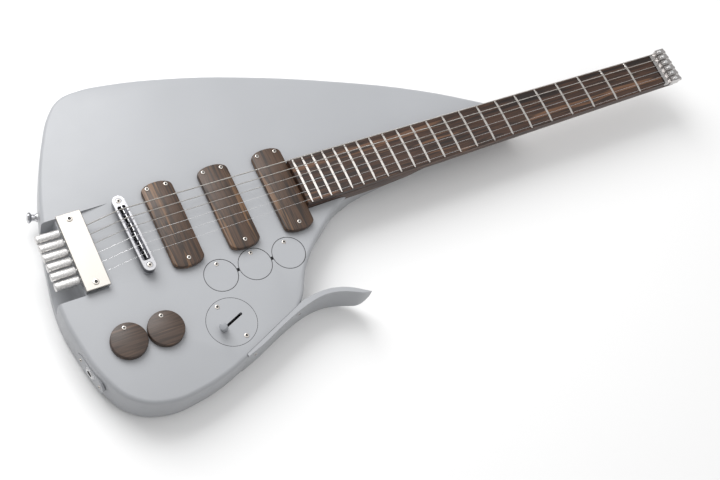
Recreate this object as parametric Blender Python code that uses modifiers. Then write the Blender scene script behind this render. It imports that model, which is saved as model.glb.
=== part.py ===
"""A headless electric guitar lying on its back: metres, +X along the strings to the head, +Y bass side, +Z up.

The origin is on the flat back, under the bridge line. Every string, saddle, tuner and clamp shares the
same two spacings, so the hardware lines up from the tail block to the head.
"""

import math

import bmesh
import bpy
from mathutils import Matrix, Vector

GAP = 0.0003  # between pieces that touch
RUNNING = 0.00015  # round a turning or sliding piece

# Strings and scale
SCALE = 0.648
FRETS = 22
STRINGS = 6
BRIDGE_PITCH = 0.01044
NUT_PITCH = 0.00757
GAUGES = (0.00117, 0.00091, 0.00066, 0.00043, 0.00033, 0.00025)
STRING_BRIDGE_Z = 0.0578
STRING_NUT_Z = 0.0562
STRING_TAIL_Z = 0.0450

# Body
BODY_T = 0.042
BODY_EDGE = 0.0045
OUTLINE = (  # x, y, corner?
    (0.452, 0.015, 0), (0.4286, 0.0297, 0), (0.3633, 0.067, 0), (0.2788, 0.1045, 0),
    (0.1718, 0.1433, 0), (0.1033, 0.1621, 0), (0.0344, 0.1742, 0), (0.006, 0.1755, 0),
    (-0.0155, 0.1712, 0), (-0.0315, 0.1565, 0), (-0.0477, 0.1291, 0), (-0.065, 0.0905, 0),
    (-0.0786, 0.0475, 0), (-0.0885, 0.002, 0), (-0.095, -0.048, 0), (-0.0912, -0.087, 0),
    (-0.0815, -0.1265, 0), (-0.0625, -0.157, 0), (-0.030, -0.1708, 0), (0.0, -0.1697, 0),
    (0.0308, -0.163, 0), (0.0553, -0.1540, 0), (0.0893, -0.1409, 0), (0.1150, -0.1295, 0),
    (0.1310, -0.1165, 0), (0.1491, -0.087, 0), (0.1692, -0.0655, 0), (0.1931, -0.0462, 0),
    (0.222, -0.0275, 0), (0.300, -0.0120, 0), (0.400, 0.0030, 0),
)  # fmt: skip

# Leg rest
REST_TOE_Z = 0.0095
SEAM_START = (0.0540, -0.1514)
SEAM_END = (0.1291, -0.1190)
REST_INNER = (
    (0.1373, -0.1176), (0.1483, -0.1162), (0.1588, -0.1162), (0.1686, -0.1177),
    (0.1779, -0.1205), (0.1866, -0.1246), (0.1949, -0.1298), (0.2019, -0.1341),
)  # fmt: skip
REST_OUTER = (
    (0.1942, -0.1330), (0.1855, -0.1290), (0.1767, -0.1252), (0.1675, -0.1224),
    (0.1575, -0.1211), (0.1468, -0.1216), (0.1349, -0.1240), (0.1227, -0.1276),
    (0.1080, -0.1331), (0.0893, -0.1409), (0.0724, -0.1481), (0.0553, -0.1540),
)  # fmt: skip

# Neck and fretboard
BOARD_END_X = 0.1774
NUT_WIDTH = 0.0403
LAST_FRET_WIDTH = 0.0535
BOARD_TOP_Z = 0.0540
BOARD_T = 0.0065
BOARD_RADIUS = 0.400
FRET_WIDTH = 0.0024
FRET_HEIGHT = 0.0010
NECK_LINE_Y = -0.0002
NECK_FLOOR_Z = 0.0320
NECK_DEPTH_NUT = 0.0130
HEEL_END_X = 0.250
PROFILE_START_X = 0.320
ROD_WIDTH = 0.006
ROD_DEPTH = 0.008

# Head
HEAD_LENGTH = 0.0215
HEAD_WIDTH = 0.0400
HEAD_BASE_T = 0.0055
HEAD_TOP_Z = 0.0585
CLAMP_X = 0.6615
CLAMP_R = 0.0020

# Bridge
BRIDGE_X = -0.0027
BRIDGE_Y = -0.0003
POST_SPACING = 0.0741
BRIDGE_SLANT = math.atan2(0.003, POST_SPACING)
BRIDGE_LENGTH = 0.0860
BRIDGE_WIDTH = 0.0125
BRIDGE_TOP_Z = 0.0543
BRIDGE_BOTTOM_Z = 0.0472
POST_R = 0.0030
WHEEL_R = 0.0060
WHEEL_T = 0.0022
SADDLE_LENGTH = 0.0036
SADDLE_WIDTH = 0.0088
SADDLE_TRAVEL = 0.0015
SADDLE_POCKET_FLOOR = 0.0495
SADDLE_OFFSETS = (-0.0003, 0.0, 0.0003, -0.0003, 0.0, 0.0003)
BREAK_BEHIND = 0.0026

# Tail hardware
PLATE_X = -0.05405
PLATE_Y = 0.00035
PLATE_LENGTH = 0.0843
PLATE_WIDTH = 0.0249
PLATE_TOP_Z = 0.0495
PLATE_T = 0.0018
CHANNEL_WIDTH = 0.0861
RAMP_FRONT_X = -0.0110
RAMP_DEPTH = 0.0030
NOTCH_FRONT_X = -0.0665
NOTCH_FLOOR_Z = 0.0160
TUNER_R = 0.0045
TUNER_LENGTH = 0.0245
TUNER_START_X = -0.0676
TUNER_STUD_R = 0.0015
PULLER_R = 0.0019
PULLER_LENGTH = 0.0080
PULLER_TRAVEL = 0.0040
TUNER_BORE_R = PULLER_R + RUNNING

# Pickups
PICKUP_FIRST_X = 0.0388
PICKUP_PITCH = 0.0608
PICKUP_Y = -0.0003
PICKUP_WIDTH = 0.0330
PICKUP_LENGTH = 0.0910
PICKUP_BULGE = 0.0032
PICKUP_HEIGHT = 0.0070
COIL_WIDTH = 0.0290
COIL_LENGTH = 0.0840
COIL_DEPTH = 0.0140

# Controls
KNOB_CENTRES = ((-0.0469, -0.1009), (-0.0095, -0.1012))
KNOB_R = 0.0182
KNOB_HEIGHT = 0.0062
POT_R = 0.0080
SHAFT_R = 0.0030
BUTTON_FIRST_X = 0.0638
BUTTON_PITCH = 0.0373
BUTTON_Y = -0.0664
BUTTON_WELL_R = 0.01756
BUTTON_T = 0.0040
BUTTON_TRAVEL = 0.0025
BUTTON_WELL_DEPTH = 0.0080
STEM_R = 0.0025
SELECTOR_X = 0.0538
SELECTOR_Y = -0.1155
SELECTOR_R = 0.0256
SELECTOR_T = 0.0030
SLOT_ANGLE = math.radians(22.2)
SLOT_LENGTH = 0.0284
SLOT_WIDTH = 0.0028
LEVER_PIVOT_DEPTH = 0.0280
LEVER_SWING = math.radians(20)
CAVITY_ROOF = 0.0360
CAVITY_ROOF_BUTTONS = 0.0300
CAVITY_KNOBS = ((-0.066, -0.130), (0.0785, -0.084))
CAVITY_BUTTONS = ((0.046, -0.0845), (0.142, -0.048))
COVER_MARGIN = 0.0038
COVER_T = 0.0025

# Jack and strap button
JACK_X = -0.0876
JACK_Y = -0.1105
JACK_Z = 0.0210
JACK_ANGLE = math.atan2(-0.197, -0.980)
JACK_PLATE_LENGTH = 0.0440
JACK_PLATE_WIDTH = 0.0200
JACK_PLATE_T = 0.0025
JACK_R = 0.0055
JACK_BORE_R = 0.0036
JACK_LENGTH = 0.0230
STRAP_X = -0.0750
STRAP_Y = 0.0600
STRAP_Z = 0.0200
STRAP_ANGLE = math.atan2(0.286, -0.958)

CUTTERS = bpy.data.collections.new("cutters")
GUITAR = bpy.data.collections.new("guitar")


def clear_scene():
    for obj in list(bpy.data.objects):
        bpy.data.objects.remove(obj, do_unlink=True)
    bpy.context.scene.collection.children.link(GUITAR)
    bpy.context.scene.collection.children.link(CUTTERS)


def material(name, colour, roughness, metallic=0.0):
    made = bpy.data.materials.new(name)
    made.use_nodes = True
    shader = made.node_tree.nodes["Principled BSDF"]
    shader.inputs["Base Color"].default_value = (*colour, 1.0)
    shader.inputs["Roughness"].default_value = roughness
    shader.inputs["Metallic"].default_value = metallic
    return made


def place(name, bm, finish=None, move=None):
    """Turns a bmesh into an object of the guitar, or into a cutter when it has no finish."""
    if move is not None:
        bm.transform(move)
    bmesh.ops.recalc_face_normals(bm, faces=bm.faces)
    if bm.calc_volume(signed=True) < 0:
        bmesh.ops.reverse_faces(bm, faces=bm.faces)
    mesh = bpy.data.meshes.new(name)
    bm.to_mesh(mesh)
    bm.free()
    obj = bpy.data.objects.new(name, mesh)
    if finish is None:
        CUTTERS.objects.link(obj)
        obj.hide_render = True
        obj.display_type = "WIRE"
    else:
        GUITAR.objects.link(obj)
        mesh.materials.append(finish)
        mesh.shade_smooth()
        mesh.set_sharp_from_angle(angle=math.radians(35))
    return obj


def set_origin(obj, point):
    """Moves the object's origin to its joint axis and leaves its solid where it is."""
    obj.data.transform(Matrix.Translation(-Vector(point)))
    obj.location = point


def cut(obj, cutter, operation="DIFFERENCE"):
    step = obj.modifiers.new(cutter.name, "BOOLEAN")
    step.operation = operation
    step.object = cutter


def join(obj, other):
    """Unites a helper solid with the object."""
    cut(obj, other, "UNION")


def box(low, high):
    bm = bmesh.new()
    bmesh.ops.create_cube(bm, size=1.0)
    low, high = Vector(low), Vector(high)
    size = high - low
    bmesh.ops.scale(bm, verts=bm.verts, vec=size)
    bmesh.ops.translate(bm, verts=bm.verts, vec=(low + high) / 2)
    return bm


def rounded_box(low, high, radius, segments=3):
    """A box whose upright edges are rounded."""
    bm = box(low, high)
    upright = [e for e in bm.edges if abs(e.verts[0].co.z - e.verts[1].co.z) > 1e-6]
    bmesh.ops.bevel(bm, geom=upright, offset=radius, segments=segments, affect="EDGES", profile=0.5)
    return bm


def cylinder(radius, low, high, centre=(0.0, 0.0), sides=32, top_radius=None):
    """An upright cylinder or cone from one height to another."""
    bm = bmesh.new()
    bmesh.ops.create_cone(
        bm,
        cap_ends=True,
        segments=sides,
        radius1=radius,
        radius2=radius if top_radius is None else top_radius,
        depth=high - low,
    )
    bmesh.ops.translate(bm, verts=bm.verts, vec=(*centre, (low + high) / 2))
    return bm


def lay_along_x(start, y, z):
    """The matrix that lays an upright piece down along +X from a start point."""
    return Matrix.Translation((start, y, z)) @ Matrix.Rotation(math.pi / 2, 4, "Y")


def turned(name, profile, finish, move, steps=32):
    """A turned piece: the profile is (radius, height) from the top down its outer side."""
    mesh = bpy.data.meshes.new(name)
    points = [(r, 0.0, z) for r, z in profile]
    mesh.from_pydata(points, [(i, i + 1) for i in range(len(points) - 1)], [])
    obj = bpy.data.objects.new(name, mesh)
    spin = obj.modifiers.new("turn", "SCREW")
    spin.steps = spin.render_steps = steps
    spin.use_merge_vertices = True
    spin.merge_threshold = 0.00001
    GUITAR.objects.link(obj)
    bpy.context.view_layer.update()
    solid = bpy.data.meshes.new_from_object(obj.evaluated_get(bpy.context.evaluated_depsgraph_get()))
    bpy.data.objects.remove(obj)
    bm = bmesh.new()
    bm.from_mesh(solid)
    bpy.data.meshes.remove(solid)
    return place(name, bm, finish, move)


def outline_solid(points, low, high, resolution=4):
    """A solid from a closed smooth outline. A point's third value marks a sharp corner."""
    curve = bpy.data.curves.new("outline", "CURVE")
    curve.dimensions = "2D"
    curve.fill_mode = "NONE"
    curve.extrude = (high - low) / 2
    curve.resolution_u = resolution
    spline = curve.splines.new("BEZIER")
    spline.bezier_points.add(len(points) - 1)
    spline.use_cyclic_u = True
    for knot, point in zip(spline.bezier_points, points):
        knot.co = (point[0], point[1], 0.0)
        sharp = len(point) > 2 and point[2]
        knot.handle_left_type = knot.handle_right_type = "VECTOR" if sharp else "AUTO"
    obj = bpy.data.objects.new("outline", curve)
    GUITAR.objects.link(obj)
    bpy.context.view_layer.update()
    wall = bpy.data.meshes.new_from_object(obj.evaluated_get(bpy.context.evaluated_depsgraph_get()))
    bpy.data.objects.remove(obj)
    bm = bmesh.new()
    bm.from_mesh(wall)
    bpy.data.meshes.remove(wall)
    bmesh.ops.remove_doubles(bm, verts=bm.verts, dist=0.00001)
    open_edges = [e for e in bm.edges if e.is_boundary]
    bmesh.ops.holes_fill(bm, edges=open_edges, sides=0)
    bmesh.ops.translate(bm, verts=bm.verts, vec=(0.0, 0.0, (low + high) / 2))
    return bm


def round_edges(obj, width, segments=2, angle=50):
    step = obj.modifiers.new("rounded edges", "BEVEL")
    step.width = width
    step.segments = segments
    step.limit_method = "ANGLE"
    step.angle_limit = math.radians(angle)
    step.use_clamp_overlap = True
    return step


def string_y(index, x):
    """The height across the board of a string's line at x, from the bridge to the nut."""
    middle = (STRINGS - 1) / 2 - index
    at_bridge = BRIDGE_Y + BRIDGE_PITCH * middle
    at_nut = NECK_LINE_Y + NUT_PITCH * middle
    share = min(max(x / SCALE, 0.0), 1.04)
    return at_bridge + (at_nut - at_bridge) * share


def string_z(x):
    return STRING_BRIDGE_Z + (STRING_NUT_Z - STRING_BRIDGE_Z) * x / SCALE


def board_half_width(x):
    last_fret_x = SCALE * 2 ** (-FRETS / 12)
    share = (SCALE - x) / (SCALE - last_fret_x)
    return (NUT_WIDTH + (LAST_FRET_WIDTH - NUT_WIDTH) * share) / 2


def saddle_x(index):
    """The crest of a saddle: the slanted bridge line plus its own intonation offset."""
    along = string_y(index, 0.0) - BRIDGE_Y
    return BRIDGE_X - math.tan(BRIDGE_SLANT) * along + SADDLE_OFFSETS[index]


def make_body(grey):
    body = place("body", outline_solid(OUTLINE, 0.0, BODY_T, 4), grey)
    round_edges(body, BODY_EDGE, 3, 55)
    cut_rest_seat(body)
    cut_neck_pocket(body)
    cut_tail(body)
    cut_pickup_cavities(body)
    cut_controls(body)
    cut_jack(body)
    for side in (-1, 1):
        x, y = post_place(side)
        cut(body, place("post_hole", cylinder(POST_R + GAP, 0.0219, BODY_T + 0.01, (x, y), 16)))
    return body


def cut_rest_seat(body):
    """The straight seat along the lower side, with a small step where the leg rest starts."""
    start = Vector(SEAM_START)
    along = (Vector(SEAM_END) - start).normalized() * 0.12
    out = Vector((along.y, -along.x)) * 0.25
    corners = [(*corner, 1) for corner in (start, start + along, start + along + out, start + out)]
    cut(body, place("rest_seat", outline_solid(corners, -0.01, BODY_T + 0.01, 1)))


def cut_neck_pocket(body):
    half = board_half_width(BOARD_END_X) + GAP
    tip = board_half_width(0.46) + GAP
    corners = (
        (BOARD_END_X - GAP, NECK_LINE_Y - half, 1), (0.46, NECK_LINE_Y - tip, 1),
        (0.46, NECK_LINE_Y + tip, 1), (BOARD_END_X - GAP, NECK_LINE_Y + half, 1),
    )  # fmt: skip
    cut(body, place("neck_pocket", outline_solid(corners, NECK_FLOOR_Z - GAP, BODY_T + 0.02, 1)))


def cut_tail(body):
    """The shallow ramp in front of the plate, its level seat, and the deep notch behind it for the tuners."""
    half = CHANNEL_WIDTH / 2
    seat_front = PLATE_X + PLATE_WIDTH / 2 + 0.0005
    floor_z = BODY_T - RAMP_DEPTH
    ramp = box((seat_front, PLATE_Y - half, floor_z), (RAMP_FRONT_X, PLATE_Y + half, BODY_T + 0.01))
    for vert in ramp.verts:
        if vert.co.x > seat_front + 0.001 and vert.co.z < BODY_T:
            vert.co.z = BODY_T + 0.0001
    cut(body, place("ramp", ramp))
    low = (NOTCH_FRONT_X - 0.001, PLATE_Y - half, floor_z)
    seat = box(low, (seat_front + 0.0003, PLATE_Y + half, BODY_T + 0.01))
    cut(body, place("plate_seat", seat))
    notch = box((-0.12, PLATE_Y - half, NOTCH_FLOOR_Z), (NOTCH_FRONT_X, PLATE_Y + half, BODY_T + 0.01))
    inner = [
        e for e in notch.edges
        if all(abs(v.co.x - NOTCH_FRONT_X) < 1e-6 for v in e.verts)
        and all(abs(v.co.z - NOTCH_FLOOR_Z) < 1e-6 for v in e.verts)
    ]  # fmt: skip
    bmesh.ops.bevel(notch, geom=inner, offset=0.009, segments=4, affect="EDGES", profile=0.5)
    cut(body, place("tuner_notch", notch))


def cut_pickup_cavities(body):
    for n in range(3):
        x = PICKUP_FIRST_X + n * PICKUP_PITCH
        w, h = COIL_WIDTH / 2 + GAP, COIL_LENGTH / 2 + GAP
        floor_z = BODY_T - COIL_DEPTH - GAP
        cavity = rounded_box((x - w, PICKUP_Y - h, floor_z), (x + w, PICKUP_Y + h, BODY_T + 0.01), 0.004, 2)
        cut(body, place(f"pickup_cavity_{n + 1}", cavity))


def cut_controls(body):
    seat_z = COVER_T + 2 * GAP
    for name, area, roof in (
        ("knob_cavity", CAVITY_KNOBS, CAVITY_ROOF),
        ("button_cavity", CAVITY_BUTTONS, CAVITY_ROOF_BUTTONS),
    ):
        (x0, y0), (x1, y1) = area
        cut(body, place(name, rounded_box((x0, y0, -0.01), (x1, y1, roof), 0.006, 2)))
    cut(body, cover_shape("cover_seat", -0.01, seat_z, COVER_MARGIN + GAP))
    for number, (x, y) in enumerate(KNOB_CENTRES, 1):
        hole = cylinder(SHAFT_R + 0.0006, CAVITY_ROOF - 0.002, BODY_T + 0.01, (x, y), 16)
        cut(body, place(f"shaft_hole_{number}", hole))
    for n in range(3):
        x = BUTTON_FIRST_X + n * BUTTON_PITCH
        well = cylinder(BUTTON_WELL_R, BODY_T - BUTTON_WELL_DEPTH, BODY_T + 0.01, (x, BUTTON_Y), 48)
        cut(body, place(f"button_well_{n + 1}", well))
        bore = cylinder(STEM_R + RUNNING, CAVITY_ROOF_BUTTONS - 0.002, BODY_T, (x, BUTTON_Y), 16)
        cut(body, place(f"stem_bore_{n + 1}", bore))
    for n in range(2):
        x = BUTTON_FIRST_X + (n + 0.5) * BUTTON_PITCH
        link = box((x - 0.0025, BUTTON_Y - 0.0018, BODY_T - 0.005), (x + 0.0025, BUTTON_Y + 0.0018, BODY_T + 0.01))
        cut(body, place(f"well_link_{n + 1}", link))
    recess = cylinder(SELECTOR_R, BODY_T - SELECTOR_T - GAP, BODY_T + 0.01, (SELECTOR_X, SELECTOR_Y), 64)
    cut(body, place("selector_recess", recess))
    opening = box((-0.0150, -0.0045, CAVITY_ROOF - 0.002), (0.0150, 0.0045, BODY_T))
    turn = Matrix.Translation((SELECTOR_X, SELECTOR_Y, 0.0)) @ Matrix.Rotation(SLOT_ANGLE, 4, "Z")
    cut(body, place("selector_opening", opening, None, turn))


def jack_frame():
    """Local X points out of the body wall, local Y along the wall, local Z up."""
    return Matrix.Translation((JACK_X, JACK_Y, JACK_Z)) @ Matrix.Rotation(JACK_ANGLE, 4, "Z")


def oval(length, width, low, high):
    """An oval plate standing on the wall: its thickness runs along local X."""
    bm = rounded_box((-width / 2, -length / 2, low), (width / 2, length / 2, high), width * 0.499, 6)
    bm.transform(Matrix.Rotation(math.pi / 2, 4, "Y"))
    return bm


def cut_jack(body):
    recess = oval(JACK_PLATE_LENGTH + 2 * GAP, JACK_PLATE_WIDTH + 2 * GAP, -JACK_PLATE_T - GAP, 0.01)
    cut(body, place("jack_recess", recess, None, jack_frame()))
    bore = cylinder(JACK_R + 0.001, -JACK_LENGTH - 0.002, 0.002, sides=24)
    bore.transform(Matrix.Rotation(math.pi / 2, 4, "Y"))
    cut(body, place("jack_bore", bore, None, jack_frame()))


def cover_shape(name, low, high, grow, finish=None):
    """Two rounded rectangles over the two cavities, made one."""
    pieces = []
    for number, ((x0, y0), (x1, y1)) in enumerate((CAVITY_KNOBS, CAVITY_BUTTONS)):
        bm = rounded_box((x0 - grow, y0 - grow, low), (x1 + grow, y1 + grow, high), 0.008, 3)
        first = number == 0
        pieces.append(place(name if first else f"{name}_arm", bm, finish if first else None))
    join(pieces[0], pieces[1])
    return pieces[0]


def make_leg_rest(grey):
    """A curved blade as deep as the body, seated on the flat of the lower side, its toe cut up at the end."""
    start, end = Vector(SEAM_START), Vector(SEAM_END)
    along = (end - start).normalized()
    out = Vector((along.y, -along.x)) * GAP
    first, last = start + out + along * GAP, end + out + along * 0.002
    points = [(*first, 1), (*last, 1)]
    points += [(*p, 0) for p in REST_INNER[:-1]] + [(*REST_INNER[-1], 1)]
    points += [(*p, 0) for p in REST_OUTER[:-1]] + [(*REST_OUTER[-1], 1)]
    rest = place("leg_rest", outline_solid(points, 0.0, BODY_T, 3), grey)
    side = (
        (0.040, -0.010, 1), (0.145, -0.0005, 1), (0.165, 0.0020, 0), (0.185, 0.0055, 0),
        (0.194, REST_TOE_Z, 0), (0.2000, 0.0200, 0), (0.2030, 0.050, 1), (0.040, 0.050, 1),
    )  # fmt: skip
    slab = outline_solid(side, -0.02, 0.02, 5)
    stand = Matrix.Translation((0.0, -0.134, 0.0)) @ Matrix.Rotation(math.pi / 2, 4, "X")
    cut(rest, place("leg_rest_side", slab, None, stand @ Matrix.Scale(3.0, 4, (0, 0, 1))), "INTERSECT")
    return rest


def make_neck(wood):
    """Sections from a square heel to a rounded back, all from one superellipse rule."""
    top_z = BOARD_TOP_Z - BOARD_T - GAP
    end_x = SCALE + HEAD_LENGTH
    stations = [BOARD_END_X, HEEL_END_X, 0.275, 0.30, PROFILE_START_X, 0.48, 0.62, end_x - 0.004, end_x]
    sides = 12
    bm = bmesh.new()
    rings = []
    for x in stations:
        blend = min(max((x - HEEL_END_X) / (PROFILE_START_X - HEEL_END_X), 0.0), 1.0)
        blend = blend * blend * (3 - 2 * blend)
        power = 24.0 + (2.3 - 24.0) * blend
        depth = top_z - NECK_FLOOR_Z
        depth += (NECK_DEPTH_NUT - depth) * min(max((x - HEEL_END_X) / (SCALE - HEEL_END_X), 0.0), 1.0)
        half = board_half_width(min(x, SCALE))
        if x == end_x:
            depth, half = depth - 0.003, half - 0.002
        ring = []
        for k in range(sides + 1):
            turn = math.pi * k / sides
            across = math.copysign(abs(math.cos(turn)) ** (2 / power), math.cos(turn))
            down = math.sin(turn) ** (2 / power)
            ring.append(bm.verts.new((x, NECK_LINE_Y + half * across, top_z - depth * down)))
        rings.append(ring)
    for a, b in zip(rings, rings[1:]):
        for k in range(sides + 1):
            j = (k + 1) % (sides + 1)
            bm.faces.new((a[k], a[j], b[j], b[k]))
    bm.faces.new(rings[0])
    bm.faces.new(reversed(rings[-1]))
    neck = place("neck", bm, wood)
    half = ROD_WIDTH / 2 + GAP
    rod_slot = box(
        (BOARD_END_X + 0.010, NECK_LINE_Y - half, top_z - ROD_DEPTH - GAP),
        (SCALE - 0.012, NECK_LINE_Y + half, top_z + 0.01),
    )
    cut(neck, place("rod_slot", rod_slot))
    return neck


def make_truss_rod(steel):
    top_z = BOARD_TOP_Z - BOARD_T - GAP
    half = ROD_WIDTH / 2
    low = (BOARD_END_X + 0.0106, NECK_LINE_Y - half, top_z - ROD_DEPTH)
    high = (SCALE - 0.0126, NECK_LINE_Y + half, top_z - GAP)
    rod = place("truss_rod", box(low, high), steel)
    round_edges(rod, 0.0008, 1)


def arched_bar(x0, x1, half0, half1, bottom, top, arch=6):
    """A bar across the board whose top follows the board's radius."""
    bm = bmesh.new()
    rings = []
    for x, half in ((x0, half0), (x1, half1)):
        ring = [bm.verts.new((x, NECK_LINE_Y - half, bottom)), bm.verts.new((x, NECK_LINE_Y + half, bottom))]
        for k in range(arch + 1):
            y = half - 2 * half * k / arch
            drop = BOARD_RADIUS - math.sqrt(BOARD_RADIUS**2 - y**2)
            ring.append(bm.verts.new((x, NECK_LINE_Y + y, top - drop)))
        rings.append(ring)
    size = len(rings[0])
    for k in range(size):
        j = (k + 1) % size
        bm.faces.new((rings[0][k], rings[0][j], rings[1][j], rings[1][k]))
    bm.faces.new(rings[0])
    bm.faces.new(reversed(rings[1]))
    return bm


def make_fretboard(wood):
    bottom = BOARD_TOP_Z - BOARD_T
    board = arched_bar(
        BOARD_END_X, SCALE - GAP, board_half_width(BOARD_END_X), board_half_width(SCALE), bottom, BOARD_TOP_Z
    )
    board = place("fretboard", board, wood)
    wires = bmesh.new()
    for fret in range(1, FRETS + 1):
        x = SCALE * 2 ** (-fret / 12)
        half = board_half_width(x) - 0.0004
        low, top = BOARD_TOP_Z - 0.0025, BOARD_TOP_Z + FRET_HEIGHT
        wire = arched_bar(x - FRET_WIDTH / 2, x + FRET_WIDTH / 2, half, half, low, top)
        crown = [
            e for e in wire.edges
            if e.verts[0].co.z > BOARD_TOP_Z and e.verts[1].co.z > BOARD_TOP_Z
            and abs(e.verts[0].co.x - e.verts[1].co.x) < 1e-6
        ]  # fmt: skip
        bmesh.ops.bevel(wire, geom=crown, offset=0.0007, segments=1, affect="EDGES")
        part = bpy.data.meshes.new("wire")
        wire.to_mesh(part)
        wire.free()
        wires.from_mesh(part)
        bpy.data.meshes.remove(part)
    join(board, place("fret_wires", wires))
    return board


def make_head(metal, steel):
    """The string lock: a nut bar, six towers with a channel and a clamp bore each, and six pins behind."""
    base_z = BOARD_TOP_Z - BOARD_T
    half = HEAD_WIDTH / 2
    front, back = SCALE + GAP, SCALE + HEAD_LENGTH
    nut_top = STRING_NUT_Z - GAUGES[0] / 2 - GAP
    head = place("headpiece", box((front, -half, base_z), (back, half, base_z + HEAD_BASE_T)), metal)
    nut = box((front, -half + 0.0005, base_z + 0.002), (front + 0.004, half - 0.0005, nut_top))
    join(head, place("nut_bar", nut))
    for index in range(STRINGS):
        y = string_y(index, CLAMP_X)
        low = (CLAMP_X - 0.0055, y - 0.0029, base_z + 0.002)
        join(head, place(f"tower_{index + 1}", rounded_box(low, (back - 0.001, y + 0.0029, HEAD_TOP_Z), 0.0006, 1)))
        pin = cylinder(0.0024, 0.0, 0.0042, sides=12)
        join(head, place(f"pin_{index + 1}", pin, None, lay_along_x(back - 0.0015, y, base_z + 0.0052)))
    for index in range(STRINGS):
        y = string_y(index, CLAMP_X)
        z = string_z(CLAMP_X)
        slot = GAUGES[index] / 2 + GAP
        channel = box((front + 0.004, y - slot, z - slot), (CLAMP_X + 0.004, y + slot, z + slot))
        cut(head, place(f"channel_{index + 1}", channel))
        bore = cylinder(CLAMP_R + RUNNING, z + slot - 0.0001, HEAD_TOP_Z + 0.01, (CLAMP_X, y), 20)
        cut(head, place(f"clamp_bore_{index + 1}", bore))
        screw = cylinder(CLAMP_R, z + GAUGES[index] / 2 + GAP, HEAD_TOP_Z + 0.0010, (CLAMP_X, y), 20)
        screw = place(f"clamp_screw_{index + 1}", screw, steel)
        socket = cylinder(0.0011, HEAD_TOP_Z - 0.0004, HEAD_TOP_Z + 0.01, (CLAMP_X, y), 6)
        cut(screw, place(f"clamp_socket_{index + 1}", socket))
        set_origin(screw, (CLAMP_X, y, HEAD_TOP_Z))
    return head


def make_strings(steel):
    """Each string from its puller, up over the saddle, to its clamp."""
    for index in range(STRINGS):
        radius = GAUGES[index] / 2
        tail_y = string_y(index, 0.0)
        exit_x = PLATE_X + PLATE_WIDTH / 2
        break_x = saddle_x(index) - BREAK_BEHIND
        start_x = PLATE_X + 0.0035
        stop_x = CLAMP_X + 0.0025
        route = [(start_x, tail_y, STRING_TAIL_Z), (exit_x - 0.001, tail_y, STRING_TAIL_Z)]
        route.append((break_x, tail_y, STRING_BRIDGE_Z))
        route += [(x, string_y(index, x), string_z(x)) for x in (0.0, 0.216, 0.432, SCALE, stop_x)]
        curve = bpy.data.curves.new(f"string_{index + 1}", "CURVE")
        curve.dimensions = "3D"
        curve.bevel_depth = radius
        curve.bevel_resolution = 2
        curve.use_fill_caps = True
        spline = curve.splines.new("POLY")
        spline.points.add(len(route) - 1)
        for point, place_at in zip(spline.points, route):
            point.co = (*place_at, 1.0)
        curve.materials.append(steel)
        GUITAR.objects.link(bpy.data.objects.new(f"string_{index + 1}", curve))


def post_place(side):
    """Where a bridge post stands: side is 1 for bass and -1 for treble."""
    reach = side * POST_SPACING / 2
    return BRIDGE_X - math.sin(BRIDGE_SLANT) * reach, BRIDGE_Y + math.cos(BRIDGE_SLANT) * reach


def bridge_turn():
    return Matrix.Translation((BRIDGE_X, BRIDGE_Y, 0.0)) @ Matrix.Rotation(BRIDGE_SLANT, 4, "Z")


def make_bridge(chrome):
    half_w, half_l = BRIDGE_WIDTH / 2, BRIDGE_LENGTH / 2
    bar = rounded_box(
        (-half_w, -half_l, BRIDGE_BOTTOM_Z), (half_w, half_l, BRIDGE_TOP_Z), half_w * 0.998, 6
    )
    bridge = place("bridge_base", bar, chrome, bridge_turn())
    pocket_half = SADDLE_LENGTH / 2 + SADDLE_TRAVEL + 0.0009
    reach = STRINGS * BRIDGE_PITCH / 2
    pocket = rounded_box(
        (-pocket_half, -reach, SADDLE_POCKET_FLOOR), (pocket_half, reach, BRIDGE_TOP_Z + 0.01), 0.001, 1
    )
    cut(bridge, place("saddle_pocket", pocket, None, bridge_turn()))
    for side, name in ((1, "bass"), (-1, "treble")):
        x, y = post_place(side)
        hole = cylinder(POST_R + GAP, BRIDGE_BOTTOM_Z - 0.01, BRIDGE_TOP_Z + 0.01, (x, y), 20)
        cut(bridge, place(f"post_bore_{name}", hole))
        wheel_top = BRIDGE_BOTTOM_Z - GAP
        profile = (
            (0.0, BRIDGE_TOP_Z - 0.0004), (POST_R, BRIDGE_TOP_Z - 0.0004), (POST_R, wheel_top),
            (WHEEL_R, wheel_top), (WHEEL_R, wheel_top - WHEEL_T), (POST_R, wheel_top - WHEEL_T),
            (POST_R, 0.0222), (0.0, 0.0222),
        )  # fmt: skip
        turned(f"bridge_post_{name}", profile, chrome, Matrix.Translation((x, y, 0.0)), 20)


def make_saddles(chrome):
    """Each saddle is a wedge with its crest just under its own string."""
    for index in range(STRINGS):
        crest_z = STRING_BRIDGE_Z - GAUGES[index] / 2 - GAP
        x, y = saddle_x(index), string_y(index, 0.0)
        half_l, half_w = SADDLE_LENGTH / 2, SADDLE_WIDTH / 2
        bm = box((-half_l, -half_w, SADDLE_POCKET_FLOOR + GAP), (half_l, half_w, crest_z))
        top = [v for v in bm.verts if v.co.z > crest_z - 0.0001]
        for vert in top:
            vert.co.x *= 0.22
        bmesh.ops.bisect_plane(
            bm, geom=bm.verts[:] + bm.edges[:] + bm.faces[:],
            plane_co=(0, 0, BRIDGE_TOP_Z - 0.001), plane_no=(0, 0, 1),
        )  # fmt: skip
        for vert in bm.verts:
            if abs(vert.co.z - (BRIDGE_TOP_Z - 0.001)) < 1e-5:
                vert.co.x = math.copysign(half_l, vert.co.x)
        saddle = place(f"saddle_{index + 1}", bm, chrome, Matrix.Rotation(BRIDGE_SLANT, 4, "Z"))
        saddle.data.transform(Matrix.Translation((x, y, 0.0)))
        set_origin(saddle, (x, y, crest_z))


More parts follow.
